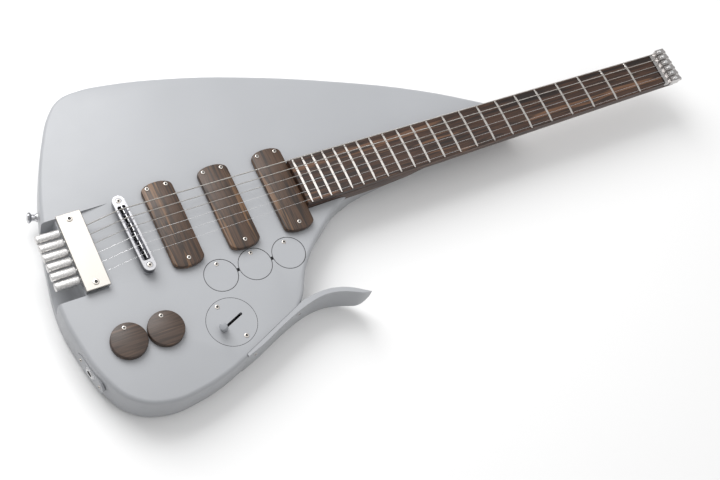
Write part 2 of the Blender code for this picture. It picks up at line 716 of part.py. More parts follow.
def make_tail(nickel, steel):
    """The cover plate over a block with six bores, each holding a string puller and its knurled tuner."""
    half_w, half_l = PLATE_WIDTH / 2, PLATE_LENGTH / 2
    low = (PLATE_X - half_w, PLATE_Y - half_l, PLATE_TOP_Z - PLATE_T)
    plate = place("tail_plate", box(low, (PLATE_X + half_w, PLATE_Y + half_l, PLATE_TOP_Z)), nickel)
    round_edges(plate, 0.0005, 1)
    floor_z = BODY_T - RAMP_DEPTH + GAP
    low = (PLATE_X - half_w + 0.0008, PLATE_Y - half_l + 0.001, floor_z)
    high = (PLATE_X + half_w - 0.0008, PLATE_Y + half_l - 0.001, PLATE_TOP_Z - PLATE_T - GAP)
    block = place("tuner_block", box(low, high), steel)
    for index in range(STRINGS):
        y = string_y(index, 0.0)
        bore = cylinder(TUNER_BORE_R, -0.03, 0.03, sides=16)
        cut(block, place(f"puller_bore_{index + 1}", bore, None, lay_along_x(PLATE_X, y, STRING_TAIL_Z)))
        stop_x = PLATE_X + 0.0035 - GAP
        start_x = stop_x - PULLER_LENGTH
        puller = cylinder(PULLER_R, 0.0, PULLER_LENGTH, sides=16)
        place(f"string_puller_{index + 1}", puller, steel, lay_along_x(start_x, y, STRING_TAIL_Z))
        make_tuner(index, y, start_x - PULLER_TRAVEL - GAP, nickel)


def make_tuner(index, y, stud_end_x, nickel):
    """A knurled barrel with a rounded inner shoulder, and a stud that reaches into the block."""
    outer_x = TUNER_START_X - TUNER_LENGTH
    stud = stud_end_x - outer_x
    barrel = TUNER_LENGTH
    profile = (
        (0.0, stud), (TUNER_STUD_R, stud), (TUNER_STUD_R, barrel), (TUNER_R - 0.0011, barrel),
        (TUNER_R - 0.0003, barrel - 0.0005), (TUNER_R, barrel - 0.0014), (TUNER_R, 0.0007),
        (TUNER_R - 0.0007, 0.0), (0.0, 0.0),
    )  # fmt: skip
    knob = turned(
        f"tuner_knob_{index + 1}", profile, nickel, lay_along_x(outer_x, y, STRING_TAIL_Z), 16
    )
    set_origin(knob, (TUNER_START_X, y, STRING_TAIL_Z))


def make_pickups(wood):
    for n in range(3):
        x = PICKUP_FIRST_X + n * PICKUP_PITCH
        w, h = PICKUP_WIDTH / 2, PICKUP_LENGTH / 2
        r = 0.0055
        quarter = (
            (w, h - r, 1), (w - 0.0005, h - 0.0028, 0), (w - 0.0024, h - 0.0004, 0),
            (w * 0.45, h + PICKUP_BULGE * 0.78, 0), (0.0, h + PICKUP_BULGE, 0),
        )  # fmt: skip
        end = [*quarter, *((-a, b, c) for a, b, c in quarter[-2::-1])]
        shape = [(x + a, PICKUP_Y + b, c) for a, b, c in end]
        shape += [(x - a, PICKUP_Y - b, c) for a, b, c in end]
        low, high = BODY_T + GAP, BODY_T + PICKUP_HEIGHT
        pickup = place(f"pickup_{n + 1}", outline_solid(shape, low, high, 2), wood)
        rim = round_edges(pickup, 0.0016, 2, 60)
        rim.use_clamp_overlap = True
        cw, ch = COIL_WIDTH / 2, COIL_LENGTH / 2
        coil = rounded_box(
            (x - cw, PICKUP_Y - ch, BODY_T - COIL_DEPTH), (x + cw, PICKUP_Y + ch, BODY_T + 0.003), 0.004, 2
        )
        join(pickup, place(f"coil_{n + 1}", coil))


def make_knobs(wood, metal):
    for (x, y), name in zip(KNOB_CENTRES, ("volume", "tone")):
        low, high = BODY_T + 0.0005, BODY_T + 0.0005 + KNOB_HEIGHT
        profile = (
            (0.0, high), (KNOB_R - 0.0012, high), (KNOB_R - 0.0004, high - 0.0004), (KNOB_R, high - 0.0012),
            (KNOB_R, low + 0.0004), (KNOB_R - 0.0004, low), (SHAFT_R, low), (SHAFT_R, CAVITY_ROOF), (0.0, CAVITY_ROOF),
        )  # fmt: skip
        knob = turned(f"{name}_knob", profile, wood, Matrix.Translation((x, y, 0.0)), 36)
        set_origin(knob, (x, y, low))
        pot_top = CAVITY_ROOF - GAP
        pot = cylinder(POT_R, pot_top - 0.010, pot_top, (x, y), 24)
        pot = place(f"{name}_pot", pot, metal)
        lug_row = box((x - 0.0050, y - POT_R - 0.0055, pot_top - 0.009), (x + 0.0050, y, pot_top - 0.0075))
        join(pot, place(f"{name}_lugs", lug_row))


def make_buttons(grey, board_green):
    reach = CAVITY_ROOF_BUTTONS - BUTTON_TRAVEL
    for n in range(3):
        x = BUTTON_FIRST_X + n * BUTTON_PITCH
        r = BUTTON_WELL_R - GAP
        low = BODY_T - BUTTON_T
        profile = (
            (0.0, BODY_T), (r - 0.0004, BODY_T), (r, BODY_T - 0.0004), (r, low),
            (STEM_R, low), (STEM_R, reach), (0.0, reach),
        )  # fmt: skip
        button = turned(f"button_{n + 1}", profile, grey, Matrix.Translation((x, BUTTON_Y, 0.0)), 48)
        set_origin(button, (x, BUTTON_Y, BODY_T))
    (x0, _), (x1, _) = CAVITY_BUTTONS
    top = reach - BUTTON_TRAVEL - GAP
    y = BUTTON_Y
    board_low = (x0 + 0.002, y - 0.0120, top - 0.0066)
    board = place("button_board", box(board_low, (x1 - 0.0008, y + 0.0120, top - 0.005)), board_green)
    for n in range(3):
        x = BUTTON_FIRST_X + n * BUTTON_PITCH
        low = (x - 0.003, y - 0.003, top - 0.0055)
        join(board, place(f"switch_case_{n + 1}", box(low, (x + 0.003, y + 0.003, top))))
    for n in range(2):
        x = BUTTON_FIRST_X + (n + 0.5) * BUTTON_PITCH
        stand = cylinder(0.0025, top - 0.006, CAVITY_ROOF_BUTTONS - GAP, (x, y), 12)
        join(board, place(f"board_stand_{n + 1}", stand))


def make_selector(grey, steel, cap_grey):
    """A flush round plate with a slot; the lever turns on a pin deep in the switch frame."""
    centre = Matrix.Translation((SELECTOR_X, SELECTOR_Y, 0.0)) @ Matrix.Rotation(SLOT_ANGLE, 4, "Z")
    disc = cylinder(SELECTOR_R - GAP, BODY_T - SELECTOR_T, BODY_T, sides=64)
    plate = place("selector_plate", disc, grey, centre)
    half_l, half_w = SLOT_LENGTH / 2, SLOT_WIDTH / 2
    slot = rounded_box(
        (-half_l, -half_w, BODY_T - 0.01), (half_l, half_w, BODY_T + 0.01), half_w * 0.99, 3
    )
    cut(plate, place("selector_slot", slot, None, centre))
    pivot_z = BODY_T - LEVER_PIVOT_DEPTH
    tilt = centre @ Matrix.Translation((0, 0, pivot_z)) @ Matrix.Rotation(-LEVER_SWING, 4, "Y")
    lever = place("selector_lever", cylinder(0.0009, 0.0, 0.036, sides=12), cap_grey, tilt)
    profile_top, cap_low = 0.0450, 0.0322
    cap = cylinder(0.0039, cap_low, profile_top, sides=24)
    rim = [e for e in cap.edges if all(v.co.z > profile_top - 1e-5 for v in e.verts)]
    bmesh.ops.bevel(cap, geom=rim, offset=0.0009, segments=2, affect="EDGES", profile=0.5)
    join(lever, place("lever_cap", cap, None, tilt))
    hub = cylinder(0.0028, -0.0019, 0.0019, sides=16)
    across = centre @ Matrix.Translation((0, 0, pivot_z)) @ Matrix.Rotation(math.pi / 2, 4, "X")
    join(lever, place("lever_hub", hub, None, across))
    frame_top = CAVITY_ROOF - GAP
    frame = box((-0.022, -0.0060, pivot_z - 0.0055), (0.022, 0.0060, frame_top))
    frame = place("selector_frame", frame, steel, centre)
    throat = box((-0.0195, -0.0022, pivot_z - 0.0035), (0.0195, 0.0022, frame_top + 0.01))
    cut(frame, place("frame_throat", throat, None, centre))
    for side in (-1, 1):
        window = box((side * 0.0105 - 0.0065, -0.01, pivot_z + 0.004), (side * 0.0105 + 0.0065, 0.01, frame_top - 0.003))
        cut(frame, place(f"frame_window_{side + 1}", window, None, centre))


def make_jack(grey, steel):
    plate = place("jack_plate", oval(JACK_PLATE_LENGTH, JACK_PLATE_WIDTH, -JACK_PLATE_T, 0.0), grey, jack_frame())
    lay = Matrix.Rotation(math.pi / 2, 4, "Y")
    hole = cylinder(JACK_R + GAP, -0.01, 0.01, sides=32)
    hole.transform(lay)
    cut(plate, place("jack_plate_hole", hole, None, jack_frame()))
    barrel = cylinder(JACK_R, -JACK_LENGTH, 0.0008, sides=32)
    barrel.transform(lay)
    socket = place("jack_socket", barrel, steel, jack_frame())
    bore = cylinder(JACK_BORE_R, -JACK_LENGTH + 0.002, 0.01, sides=24)
    bore.transform(lay)
    cut(socket, place("jack_socket_bore", bore, None, jack_frame()))


def make_strap_button(chrome):
    profile = (
        (0.0, 0.0108), (0.0030, 0.0108), (0.0052, 0.0098), (0.0058, 0.0084), (0.0050, 0.0072),
        (0.0034, 0.0060), (0.0032, 0.0030), (0.0046, 0.0006), (0.0046, 0.0), (0.0, 0.0),
    )  # fmt: skip
    base = Matrix.Translation((STRAP_X, STRAP_Y, STRAP_Z)) @ Matrix.Rotation(STRAP_ANGLE, 4, "Z")
    out = Matrix.Translation((0.0012, 0, 0)) @ Matrix.Rotation(math.pi / 2, 4, "Y")
    turned("strap_button", profile, chrome, base @ out, 24)


def main():
    clear_scene()
    grey = material("body_grey", (0.55, 0.56, 0.58), 0.42)
    wood = material("dark_wood", (0.07, 0.045, 0.035), 0.4)
    neck_wood = material("neck_wood", (0.10, 0.05, 0.035), 0.42)
    chrome = material("chrome", (0.8, 0.8, 0.8), 0.12, 1.0)
    nickel = material("satin_nickel", (0.62, 0.59, 0.56), 0.32, 1.0)
    steel = material("steel", (0.55, 0.55, 0.55), 0.3, 1.0)
    dark = material("dark_plastic", (0.03, 0.03, 0.03), 0.5)
    make_body(grey)
    cover_shape("rear_cover", GAP, GAP + COVER_T, COVER_MARGIN, dark)
    make_leg_rest(grey)
    make_neck(neck_wood)
    make_truss_rod(steel)
    make_fretboard(wood)
    make_head(nickel, steel)
    make_strings(steel)
    make_bridge(chrome)
    make_saddles(chrome)
    make_tail(nickel, steel)
    make_pickups(wood)
    make_knobs(wood, steel)
    make_buttons(grey, material("board_green", (0.02, 0.12, 0.06), 0.5))
    make_selector(grey, steel, material("lever_grey", (0.45, 0.46, 0.48), 0.4))
    make_jack(grey, steel)
    make_strap_button(chrome)


main()
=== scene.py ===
import math

import bpy
from mathutils import Matrix, Vector


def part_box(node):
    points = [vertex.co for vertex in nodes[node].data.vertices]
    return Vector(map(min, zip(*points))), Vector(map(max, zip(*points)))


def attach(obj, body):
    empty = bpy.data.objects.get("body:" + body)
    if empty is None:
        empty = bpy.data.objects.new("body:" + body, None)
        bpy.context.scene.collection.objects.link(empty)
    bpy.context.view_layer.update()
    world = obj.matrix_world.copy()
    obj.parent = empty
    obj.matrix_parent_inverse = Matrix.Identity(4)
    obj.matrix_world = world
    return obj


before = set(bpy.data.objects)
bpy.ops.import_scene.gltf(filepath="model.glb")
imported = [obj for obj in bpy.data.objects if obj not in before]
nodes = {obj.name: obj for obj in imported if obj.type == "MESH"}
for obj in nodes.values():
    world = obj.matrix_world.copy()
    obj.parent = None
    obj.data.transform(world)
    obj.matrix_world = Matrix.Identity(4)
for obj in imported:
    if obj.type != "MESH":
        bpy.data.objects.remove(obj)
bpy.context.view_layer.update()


# shader helpers: every pattern follows the object's own coordinates

def newMaterial(name):
    made = bpy.data.materials.new(name)
    made.use_nodes = True
    return made, made.node_tree, made.node_tree.nodes["Principled BSDF"]


def objectPoints(tree, scale=(1, 1, 1)):
    coords = tree.nodes.new("ShaderNodeTexCoord")
    mapping = tree.nodes.new("ShaderNodeMapping")
    mapping.inputs["Scale"].default_value = scale
    tree.links.new(coords.outputs["Object"], mapping.inputs["Vector"])
    return mapping.outputs["Vector"]


def noise(tree, vector, scale, detail, distortion=0.0):
    made = tree.nodes.new("ShaderNodeTexNoise")
    made.inputs["Scale"].default_value = scale
    made.inputs["Detail"].default_value = detail
    made.inputs["Distortion"].default_value = distortion
    tree.links.new(vector, made.inputs["Vector"])
    return made.outputs["Fac"]


def ramp(tree, value, stops):
    made = tree.nodes.new("ShaderNodeValToRGB")
    while len(made.color_ramp.elements) < len(stops):
        made.color_ramp.elements.new(0.5)
    for element, (at, colour) in zip(made.color_ramp.elements, stops):
        element.position = at
        element.color = (*colour, 1.0)
    tree.links.new(value, made.inputs["Fac"])
    return made.outputs["Color"]


def baseColour(tree, shader, value, stops):
    tree.links.new(ramp(tree, value, stops), shader.inputs["Base Color"])


def roughRange(tree, shader, value, low, high):
    made = tree.nodes.new("ShaderNodeMapRange")
    made.inputs["To Min"].default_value = low
    made.inputs["To Max"].default_value = high
    tree.links.new(value, made.inputs["Value"])
    tree.links.new(made.outputs["Result"], shader.inputs["Roughness"])


def bump(tree, shader, value, strength, distance):
    made = tree.nodes.new("ShaderNodeBump")
    made.inputs["Strength"].default_value = strength
    made.inputs["Distance"].default_value = distance
    tree.links.new(value, made.inputs["Height"])
    tree.links.new(made.outputs["Normal"], shader.inputs["Normal"])


def darker(colour, share):
    return tuple(c * share for c in colour)


def mathNode(tree, operation, second):
    made = tree.nodes.new("ShaderNodeMath")
    made.operation = operation
    made.inputs[1].default_value = second
    return made


# satin lacquer with a very fine orange peel and faint clouds
paint = {
    "body": (0.355, 0.364, 0.382),
    "lever": (0.29, 0.30, 0.32),
    "cloudScale": 9.0, "cloudDark": 0.975, "cloudLight": 1.02,
    "roughScale": 60.0, "rough": (0.36, 0.46),
    "peelScale": 900.0, "peelStrength": 0.10, "peelDepth": 0.0002,
    "coat": 0.12, "coatRough": 0.30,
}


def paintMaterial(name, colour):
    made, tree, shader = newMaterial(name)
    points = objectPoints(tree)
    cloud = noise(tree, points, paint["cloudScale"], 3.0)
    low, high = darker(colour, paint["cloudDark"]), darker(colour, paint["cloudLight"])
    baseColour(tree, shader, cloud, ((0.35, low), (0.65, high)))
    roughRange(tree, shader, noise(tree, points, paint["roughScale"], 5.0), *paint["rough"])
    bump(tree, shader, noise(tree, points, paint["peelScale"], 2.0), paint["peelStrength"], paint["peelDepth"])
    shader.inputs["Coat Weight"].default_value = paint["coat"]
    shader.inputs["Coat Roughness"].default_value = paint["coatRough"]
    return made


# striped dark wood: long bands, finer streaks inside them and open pores
wood = {
    "stretch": (1.2, 26.0),                      # along the grain and across it
    "bandScale": 3.2, "bandShare": 0.62,
    "streakScale": 14.0, "streakShare": 0.42,
    "poreStretch": (2, 60), "poreScale": 22.0, "poreStrength": 0.22, "poreDepth": 0.0003,
    "rough": (0.34, 0.52),
    "stops": ((0.40, "dark"), (0.49, "mid"), (0.55, "dark"), (0.62, "light"), (0.72, "mid")),
}
woodTones = {
    "board": {
        "dark": (0.014, 0.008, 0.006), "mid": (0.060, 0.027, 0.015), "light": (0.145, 0.070, 0.036),
        "along": "x",
    },
    "covers": {
        "dark": (0.020, 0.012, 0.008), "mid": (0.078, 0.041, 0.023), "light": (0.165, 0.088, 0.043),
        "along": "y",
    },
    "knobs": {
        "dark": (0.034, 0.021, 0.015), "mid": (0.072, 0.045, 0.032), "light": (0.110, 0.068, 0.046),
        "along": "x",
    },
    "neck": {
        "dark": (0.030, 0.014, 0.009), "mid": (0.085, 0.040, 0.024), "light": (0.150, 0.078, 0.048),
        "along": "x",
    },
}


def grainStretch(stretch, along):
    long, wide = stretch
    return (long, wide, wide) if along == "x" else (wide, long, wide)


def woodMaterial(name, tones, shift=0.0):
    made, tree, shader = newMaterial(name)
    vector = objectPoints(tree, grainStretch(wood["stretch"], tones["along"]))
    vector.node.inputs["Location"].default_value = (shift, shift * 1.7, shift * 0.6)
    bands = noise(tree, vector, wood["bandScale"], 3.0, 0.35)
    streaks = noise(tree, vector, wood["streakScale"], 6.0, 0.2)
    mix = mathNode(tree, "MULTIPLY_ADD", wood["streakShare"])
    tree.links.new(streaks, mix.inputs[0])
    scaled = mathNode(tree, "MULTIPLY", wood["bandShare"])
    tree.links.new(bands, scaled.inputs[0])
    tree.links.new(scaled.outputs[0], mix.inputs[2])
    baseColour(tree, shader, mix.outputs[0], [(at, tones[tone]) for at, tone in wood["stops"]])
    poreVector = objectPoints(tree, grainStretch(wood["poreStretch"], tones["along"]))
    pores = noise(tree, poreVector, wood["poreScale"], 3.0)
    roughRange(tree, shader, pores, *wood["rough"])
    bump(tree, shader, pores, wood["poreStrength"], wood["poreDepth"])
    return made


# metals: a fine grain in colour, gloss and height; stretch draws it out as brushing
metal = {"grainScale": 420.0, "grainDark": 0.94, "bumpStrength": 0.06, "bumpDepth": 0.0001}
metalTones = {
    "chrome": {"colour": (0.52, 0.52, 0.54), "rough": 0.14, "grain": 0.03, "stretch": (1, 1, 1)},
    # dark chrome used only on the bridge bar's sides: painted shade and painted dark reflection
    "paintedShadeChrome": {"colour": (0.10, 0.10, 0.11), "rough": 0.16, "grain": 0.03, "stretch": (1, 1, 1)},
    "nickel": {"colour": (0.47, 0.45, 0.42), "rough": 0.38, "grain": 0.10, "stretch": (1, 14, 1)},
    "headNickel": {"colour": (0.60, 0.58, 0.57), "rough": 0.24, "grain": 0.06, "stretch": (1, 1, 1)},
    "fret": {"colour": (0.88, 0.84, 0.80), "rough": 0.22, "grain": 0.04, "stretch": (1, 1, 1)},
    "steel": {"colour": (0.80, 0.80, 0.80), "rough": 0.24, "grain": 0.05, "stretch": (1, 1, 1)},
    "saddle": {"colour": (0.80, 0.80, 0.81), "rough": 0.20, "grain": 0.05, "stretch": (1, 1, 1)},
    "screw": {"colour": (0.58, 0.54, 0.50), "rough": 0.26, "grain": 0.04, "stretch": (1, 1, 1)},
}


def metalLook(tree, shader, points, tones, low, high):
    grain = noise(tree, points, metal["grainScale"], 3.0)
    shader.inputs["Metallic"].default_value = 1.0
    stops = ((0.3, darker(tones["colour"], metal["grainDark"])), (0.7, tones["colour"]))
    baseColour(tree, shader, grain, stops)
    roughRange(tree, shader, grain, tones["rough"] - low, tones["rough"] + high)
    bump(tree, shader, grain, metal["bumpStrength"], metal["bumpDepth"])


def metalMaterial(name, tones):
    made, tree, shader = newMaterial(name)
    points = objectPoints(tree, tones["stretch"])
    metalLook(tree, shader, points, tones, tones["grain"] / 2, tones["grain"])
    return made


def plainMaterial(name, colour, rough):
    made, tree, shader = newMaterial(name)
    points = objectPoints(tree)
    grain = noise(tree, points, 500.0, 3.0)
    baseColour(tree, shader, grain, ((0.3, darker(colour, 0.85)), (0.7, colour)))
    roughRange(tree, shader, grain, rough - 0.05, rough + 0.06)
    bump(tree, shader, grain, 0.12, 0.0002)
    return made


# the round winding of a bass string, as fine rings along it
winding = {"pitch": 0.0003, "groove": (0.36, 0.34, 0.31), "crest": (0.72, 0.70, 0.67), "rough": 0.32}


def windingMaterial(name):
    made, tree, shader = newMaterial(name)
    wave = tree.nodes.new("ShaderNodeTexWave")
    wave.bands_direction = "X"
    wave.inputs["Scale"].default_value = 0.314 / winding["pitch"]
    tree.links.new(objectPoints(tree), wave.inputs["Vector"])
    shader.inputs["Metallic"].default_value = 1.0
    # the grooves are painted darker and the crests lighter: painted shade in the grooves and painted highlight
    # on the crests
    baseColour(tree, shader, wave.outputs["Fac"], ((0.0, winding["groove"]), (0.6, winding["crest"])))
    shader.inputs["Roughness"].default_value = winding["rough"]
    bump(tree, shader, wave.outputs["Fac"], 0.5, 0.0002)
    return made


# the tuners' cast, knurled nickel: fine lumps that catch the light
knurl = {
    "metal": {"colour": (0.62, 0.61, 0.60), "rough": 0.34, "grain": 0.12, "stretch": (1, 1, 1)},
    "scale": 640.0, "strength": 0.35, "depth": 0.0006,
    "crest": (0.88, 0.87, 0.86), "hollow": (0.62, 0.61, 0.60),
}


def knurledMaterial(name):
    made = metalMaterial(name, knurl["metal"])
    tree, shader = made.node_tree, made.node_tree.nodes["Principled BSDF"]
    cells = tree.nodes.new("ShaderNodeTexVoronoi")
    cells.inputs["Scale"].default_value = knurl["scale"]
    tree.links.new(objectPoints(tree), cells.inputs["Vector"])
    bump(tree, shader, cells.outputs["Distance"], knurl["strength"], knurl["depth"])
    # the colour is lighter near each cell's centre and darker between the cells: painted glints on the
    # knurling
    baseColour(tree, shader, cells.outputs["Distance"], ((0.05, knurl["crest"]), (0.6, knurl["hollow"])))
    return made


# one finish below a height in metres and a metal above it: board under frets, and the bridge bar's sides
# painted dark under its bright top as painted shade and painted dark reflection
metalAbove = {"board": 0.05412, "bridge": 0.0532}


def twoHeights(name, lower, tones, height):
    made = lower.copy()
    made.name = name
    tree = made.node_tree
    base = tree.nodes["Principled BSDF"]
    output = tree.nodes["Material Output"]
    upper = tree.nodes.new("ShaderNodeBsdfPrincipled")
    points = objectPoints(tree)
    metalLook(tree, upper, points, tones, 0.03, 0.05)
    parts = tree.nodes.new("ShaderNodeSeparateXYZ")
    above = mathNode(tree, "GREATER_THAN", height)
    mix = tree.nodes.new("ShaderNodeMixShader")
    tree.links.new(points, parts.inputs[0])
    tree.links.new(parts.outputs["Z"], above.inputs[0])
    tree.links.new(above.outputs[0], mix.inputs[0])
    tree.links.new(base.outputs[0], mix.inputs[1])
    tree.links.new(upper.outputs[0], mix.inputs[2])
    tree.links.new(mix.outputs[0], output.inputs["Surface"])
    return made


finishes = {name: metalMaterial(name, tones) for name, tones in metalTones.items()}
finishes["paint"] = paintMaterial("bodyPaint", paint["body"])
finishes["leverPaint"] = paintMaterial("leverPaint", paint["lever"])
boardWood = woodMaterial("boardWood", woodTones["board"])
finishes["board"] = twoHeights("boardAndFrets", boardWood, metalTones["fret"], metalAbove["board"])
# the bridge bar below its top is painted dark chrome: painted shade and painted dark reflection on its sides
finishes["bridge"] = twoHeights(
    "bridgePaintedShade", finishes["paintedShadeChrome"], metalTones["chrome"], metalAbove["bridge"]
)
finishes["knurled"] = knurledMaterial("knurledNickel")
finishes["neck"] = woodMaterial("neckWood", woodTones["neck"])
# dark plastic of the rear cover; the same material is painted shade in the screw sockets and in the gaps
# around the flush discs
finishes["dark"] = plainMaterial("darkPlasticAndPaintedShade", (0.025, 0.025, 0.026), 0.5)
finishes["green"] = plainMaterial("circuitGreen", (0.02, 0.10, 0.05), 0.45)
finishes["wound"] = windingMaterial("woundString")
print("materials ready")


def setMaterial(obj, finish):
    obj.data.materials.clear()
    obj.data.materials.append(finish)


# how the CAD nodes are dressed: their finish, and smooth shading across shallow facets
nodeLook = {"weld": 0.00001, "crispAngle": 32, "woundStrings": 3}
nodeFinishes = {
    "body": "paint", "leg_rest": "paint", "selector_plate": "paint", "jack_plate": "paint",
    "button_board": "green", "strap_button": "chrome", "selector_lever": "leverPaint",
    "fretboard": "board", "neck": "neck", "tail_plate": "nickel", "rear_cover": "dark",
    "bridge_base": "bridge", "headpiece": "headNickel",
}
familyFinishes = {
    "button_": "paint", "saddle_": "saddle", "bridge_post": "chrome", "tuner_knob": "knurled",
}


def nodeFinish(name):
    if name in nodeFinishes:
        return finishes[nodeFinishes[name]]
    if name.startswith("pickup_"):
        return woodMaterial(name + "Wood", woodTones["covers"], float(name[-1]) * 0.83)
    if name in ("volume_knob", "tone_knob"):
        return woodMaterial(name + "Wood", woodTones["knobs"], len(name) * 0.31)
    if name.startswith("string_") and not name.startswith("string_puller"):
        return finishes["wound" if int(name[-1]) <= nodeLook["woundStrings"] else "steel"]
    for start, finish in familyFinishes.items():
        if name.startswith(start):
            return finishes[finish]
    return finishes["steel"]


def dressNode(obj, finish):
    setMaterial(obj, finish)
    weld = obj.modifiers.new("weld", "WELD")
    weld.merge_threshold = nodeLook["weld"]
    for polygon in obj.data.polygons:
        polygon.use_smooth = True
    split = obj.modifiers.new("crisp edges", "EDGE_SPLIT")
    split.split_angle = math.radians(nodeLook["crispAngle"])


for nodeName in nodes:
    dressNode(nodes[nodeName], nodeFinish(nodeName))
print("nodes dressed")


def clearSelection():
    if bpy.context.mode != "OBJECT":
        bpy.ops.object.mode_set(mode="OBJECT")
    bpy.ops.object.select_all(action="DESELECT")


# puts the place into the mesh, then names and shades the piece and gives it to its body
def finishPiece(obj, name, finish, body, matrix):
    obj.data.transform(obj.matrix_world)
    obj.matrix_world = Matrix.Identity(4)
    obj.data.transform(matrix)
    obj.name = name
    obj.data.name = name
    indices = [face.material_index for face in obj.data.polygons]
    setMaterial(obj, finish)
    if any(indices):
        obj.data.materials.append(finishes["dark"])     # the second material is painted shade inside the socket
        obj.data.polygons.foreach_set("material_index", indices)
    clearSelection()
    obj.select_set(True)
    bpy.context.view_layer.objects.active = obj
    bpy.ops.object.shade_smooth_by_angle(angle=math.radians(35))
    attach(obj, body)


def turnTo(normal):
    return Vector((0, 0, 1)).rotation_difference(Vector(normal)).to_matrix().to_4x4()


# a low button head with a round socket sunk into it; it stands on the surface, up is its own Z
screw = {"head": 0.0021, "rise": 0.0006, "socket": 0.0012, "deep": 0.0005, "chamfer": 0.00022, "sides": 24}


def screwHead():
    clearSelection()
    bpy.ops.mesh.primitive_cylinder_add(vertices=screw["sides"], radius=screw["head"], depth=screw["rise"] * 2)
    obj = bpy.context.active_object
    bpy.ops.object.mode_set(mode="EDIT")
    bpy.ops.mesh.select_mode(type="FACE")
    bpy.ops.mesh.select_all(action="DESELECT")
    bpy.ops.object.mode_set(mode="OBJECT")
    for face in obj.data.polygons:
        face.select = face.normal.z > 0.9
    bpy.ops.object.mode_set(mode="EDIT")
    bpy.ops.mesh.bevel(offset=screw["chamfer"], segments=2, affect="EDGES")
    bpy.ops.object.mode_set(mode="OBJECT")
    justUnderTop = max(v.co.z for v in obj.data.vertices) - 1e-5
    for face in obj.data.polygons:
        face.select = face.normal.z > 0.99 and face.center.z > justUnderTop
    bpy.ops.object.mode_set(mode="EDIT")
    bpy.ops.mesh.inset(thickness=screw["head"] - screw["chamfer"] - screw["socket"])
    bpy.ops.mesh.inset(thickness=0.00001)               # a thin rim keeps the socket's edge crisp
    bpy.ops.mesh.extrude_region_move(TRANSFORM_OT_translate={"value": (0, 0, -screw["deep"])})
    bpy.ops.object.mode_set(mode="OBJECT")
    # the socket's floor and walls get the second, dark material: painted shade in the socket
    for face in obj.data.polygons:
        inSocket = math.hypot(face.center.x, face.center.y) < screw["socket"] * 1.01
        face.material_index = 1 if inSocket and face.center.z < justUnderTop else 0
    return obj


screwMaster = screwHead()
print("screw modelled")


def addScrew(name, place, normal=(0, 0, 1), scale=1.0, body="guitar", sink=0.0):
    obj = screwMaster.copy()
    obj.data = screwMaster.data.copy()
    bpy.context.scene.collection.objects.link(obj)
    at = Vector(place) - Vector(normal).normalized() * sink
    obj.matrix_world = Matrix.Identity(4)
    matrix = Matrix.Translation(at) @ turnTo(normal) @ Matrix.Scale(scale, 4)
    finishPiece(obj, name, finishes["screw"], body, matrix)


# a screw on top of a node, placed from the middle of the node
def addTopScrew(name, node, offset, scale=1.0, body="guitar"):
    low, high = (Vector(corner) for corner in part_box(node))
    middle = (low + high) / 2
    addScrew(name, (middle.x + offset[0], middle.y + offset[1], high.z), scale=scale, body=body)


topScrews = {
    "pickup": ((-0.0100, 0.0427), (0.0100, 0.0427), (0.0005, -0.0403)),
    "buttonMark": (0.0003, 0.0126),
    "knobMark": (-0.0003, 0.0128),
    "tailPlate": ((-0.0005, 0.0355), (-0.0005, -0.0355)),
    "tailPlateScale": 1.45,
    "selectorPlate": ((-0.0073, 0.0192), (0.0079, -0.0181)),
    "selectorPlateScale": 1.1,
}


def addTopScrews():
    for n in (1, 2, 3):
        for k, offset in enumerate(topScrews["pickup"], 1):
            addTopScrew(f"pickup_{n}_screw_{k}", f"pickup_{n}", offset)
        addTopScrew(f"button_{n}_mark", f"button_{n}", topScrews["buttonMark"], body=f"button_{n}")
    for knob in ("volume_knob", "tone_knob"):
        addTopScrew(knob + "_mark", knob, topScrews["knobMark"], body=knob)
    for k, offset in enumerate(topScrews["tailPlate"], 1):
        addTopScrew(f"tail_plate_screw_{k}", "tail_plate", offset, topScrews["tailPlateScale"])
    for k, offset in enumerate(topScrews["selectorPlate"], 1):
        addTopScrew(f"selector_plate_screw_{k}", "selector_plate", offset, topScrews["selectorPlateScale"])


# the socket's round nut, laid against its plate, and the plate's two screws
jack = {
    "centre": Vector((-0.0876, -0.1105, 0.0210)), "out": Vector((-0.980, -0.197, 0.0)),
    "along": Vector((-0.197, 0.980, 0.0)),
    "nutRadius": 0.0062, "nutThickness": 0.0011, "nutSink": 0.0006,
    "screwReach": 0.016, "screwScale": 0.9,
}


def addJackRing():
    clearSelection()
    bpy.ops.mesh.primitive_torus_add(
        major_radius=jack["nutRadius"], minor_radius=jack["nutThickness"], major_segments=40, minor_segments=12
    )
    at = jack["centre"] - jack["out"] * jack["nutSink"]
    matrix = Matrix.Translation(at) @ turnTo(jack["out"])
    finishPiece(bpy.context.active_object, "jack_ring", finishes["chrome"], "guitar", matrix)
    for k, side in enumerate((1, -1), 1):
        at = jack["centre"] + jack["along"] * side * jack["screwReach"]
        addScrew(f"jack_plate_screw_{k}", at, jack["out"], jack["screwScale"])


# painted shade in the gap around each flush disc: a thin dark ring laid in the gap
gapShade = {"thickness": 0.00038, "above": 0.0001}


def addGapShades():
    rings = {f"button_{n}": f"button_{n}_seam" for n in (1, 2, 3)}
    rings["selector_plate"] = "selector_gapShade"
    for node, name in rings.items():
        low, high = (Vector(corner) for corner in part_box(node))
        middle = (low + high) / 2
        clearSelection()
        bpy.ops.mesh.primitive_torus_add(
            major_radius=(high.x - low.x) / 2 + gapShade["thickness"] * 0.5, minor_radius=gapShade["thickness"],
            major_segments=96, minor_segments=8,
        )
        at = Vector((middle.x, middle.y, high.z - gapShade["thickness"] + gapShade["above"]))
        finishPiece(bpy.context.active_object, name, finishes["dark"], "guitar", Matrix.Translation(at))


